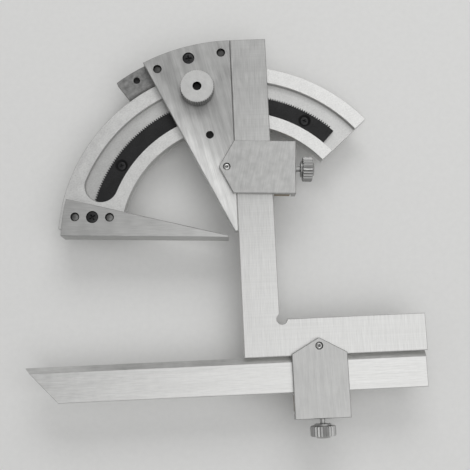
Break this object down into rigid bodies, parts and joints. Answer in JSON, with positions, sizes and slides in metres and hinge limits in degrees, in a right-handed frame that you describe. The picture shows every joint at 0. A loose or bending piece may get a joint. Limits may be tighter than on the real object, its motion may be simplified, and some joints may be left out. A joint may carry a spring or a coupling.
{
  "type": "bevel protractor",
  "caption": "Universal bevel protractor: graduated arc with base ruler, geared sector with vernier, square and straight edge held by thumbscrew clamps, for measuring angles.",
  "frame": {"origin": "vertex of the measured angle: the sector's swing axis, on the plane where the sector plate slides on the arc", "axes": "+Z to the plain rear side, away from the graduated front; -Y out of the base ruler's measuring face; -X along the base ruler from the vertex"},
  "size_m": [0.1505, 0.1541, 0.0215],
  "materials": {
    "arc_steel": "satin ground, bright",
    "base_steel": "fine ground, duller than the arc",
    "sector_steel": "ground, grain along the plate",
    "guide_steel": "machined, matt",
    "blade_steel": "ground lengthwise",
    "clamp_steel": "satin",
    "knob_steel": "turned and straight-knurled, nickel satin",
    "pin_steel": "turned",
    "black_oxide": "blackened steel",
    "shoe_brass": "milled"
  },
  "bodies": {
    "base": {"main_arc": "arc_steel", "rack_sector": "black_oxide", "rack_screws": "black_oxide", "base_ruler": "base_steel", "base_screw": "black_oxide", "base_dowels": "pin_steel"},
    "sector": {"sector_plate": "sector_steel", "guide_block": "guide_steel", "vernier_plate": "guide_steel", "vernier_screws": "black_oxide", "sector_screw": "black_oxide", "sector_dowels": "pin_steel"},
    "feed": {"feed_knob": "knob_steel", "pinion_shaft": "pin_steel"},
    "brake_shoe": {"brake_plate": "guide_steel"},
    "brake_knob": {"brake_screw": "knob_steel"},
    "upper_clamp": {"upper_clamp_body": "clamp_steel", "upper_clamp_pin": "pin_steel"},
    "upper_shoe": {"upper_clamp_shoe": "shoe_brass"},
    "upper_screw": {"upper_thumbscrew": "knob_steel"},
    "square_blade": {"square": "blade_steel"},
    "lower_clamp": {"lower_clamp_body": "clamp_steel", "lower_clamp_pin": "pin_steel"},
    "lower_shoe": {"lower_clamp_shoe": "shoe_brass"},
    "lower_screw": {"lower_thumbscrew": "knob_steel"},
    "straight_blade": {"straight_edge": "blade_steel"}
  },
  "joints": [
    {"name": "sector_swing", "type": "hinge", "parent": "base", "child": "sector", "pos_m": [0, 0, 0], "axis": [0, 0, 1], "range_deg": [-2.95, 47.05]},
    {"name": "feed_turn", "type": "hinge", "parent": "sector", "child": "feed", "pos_m": [-0.01655, 0.05818, 0.00405], "axis": [0, 0, 1], "range_deg": [-62.62, 983.82]},
    {"name": "brake_release", "type": "slide", "parent": "sector", "child": "brake_shoe", "axis": [0, 0, -1], "range_m": [0, 0.0005]},
    {"name": "brake_turn", "type": "hinge", "parent": "brake_shoe", "child": "brake_knob", "pos_m": [-0.01143, 0.04021, -0.00735], "axis": [0, 0, -1], "range_deg": [-1, 361]},
    {"name": "upper_clamp_pivot", "type": "hinge", "parent": "sector", "child": "upper_clamp", "pos_m": [-0.00481, 0.02724, 0.00205], "axis": [0, 0, 1], "range_deg": [-1, 6]},
    {"name": "upper_shoe_travel", "type": "slide", "parent": "upper_clamp", "child": "upper_shoe", "axis": [1, 0, 0], "range_m": [-0.00025, 0.0005]},
    {"name": "upper_screw_turn", "type": "hinge", "parent": "upper_shoe", "child": "upper_screw", "pos_m": [-0.00481, 0.02724, 0.00205], "axis": [1, 0, 0], "range_deg": [-181, 361]},
    {"name": "square_slide", "type": "slide", "parent": "sector", "child": "square_blade", "axis": [-0.0515, 0.9987, 0], "range_m": [-0.03, 0.04]},
    {"name": "lower_clamp_pivot", "type": "hinge", "parent": "square_blade", "child": "lower_clamp", "pos_m": [0.03013, -0.04065, 0.00205], "axis": [0, 0, 1], "range_deg": [-3.5, 3.5]},
    {"name": "lower_shoe_travel", "type": "slide", "parent": "lower_clamp", "child": "lower_shoe", "axis": [0.0515, -0.9987, 0], "range_m": [-0.00025, 0.0005]},
    {"name": "lower_screw_turn", "type": "hinge", "parent": "lower_shoe", "child": "lower_screw", "pos_m": [0.03013, -0.04065, 0.00205], "axis": [0.0515, -0.9987, 0], "range_deg": [-181, 361]},
    {"name": "straight_edge_slide", "type": "slide", "parent": "square_blade", "child": "straight_blade", "axis": [0.9987, 0.0515, 0], "range_m": [-0.028, 0.06]}
  ],
  "couplings": [
    {"joint": "feed_turn", "follows": "sector_swing", "ratio": 20.889},
    {"joint": "brake_turn", "follows": "brake_release", "rad_per_m": 12566},
    {"joint": "upper_screw_turn", "follows": "upper_shoe_travel", "rad_per_m": 12566},
    {"joint": "lower_screw_turn", "follows": "lower_shoe_travel", "rad_per_m": 12566}
  ]
}
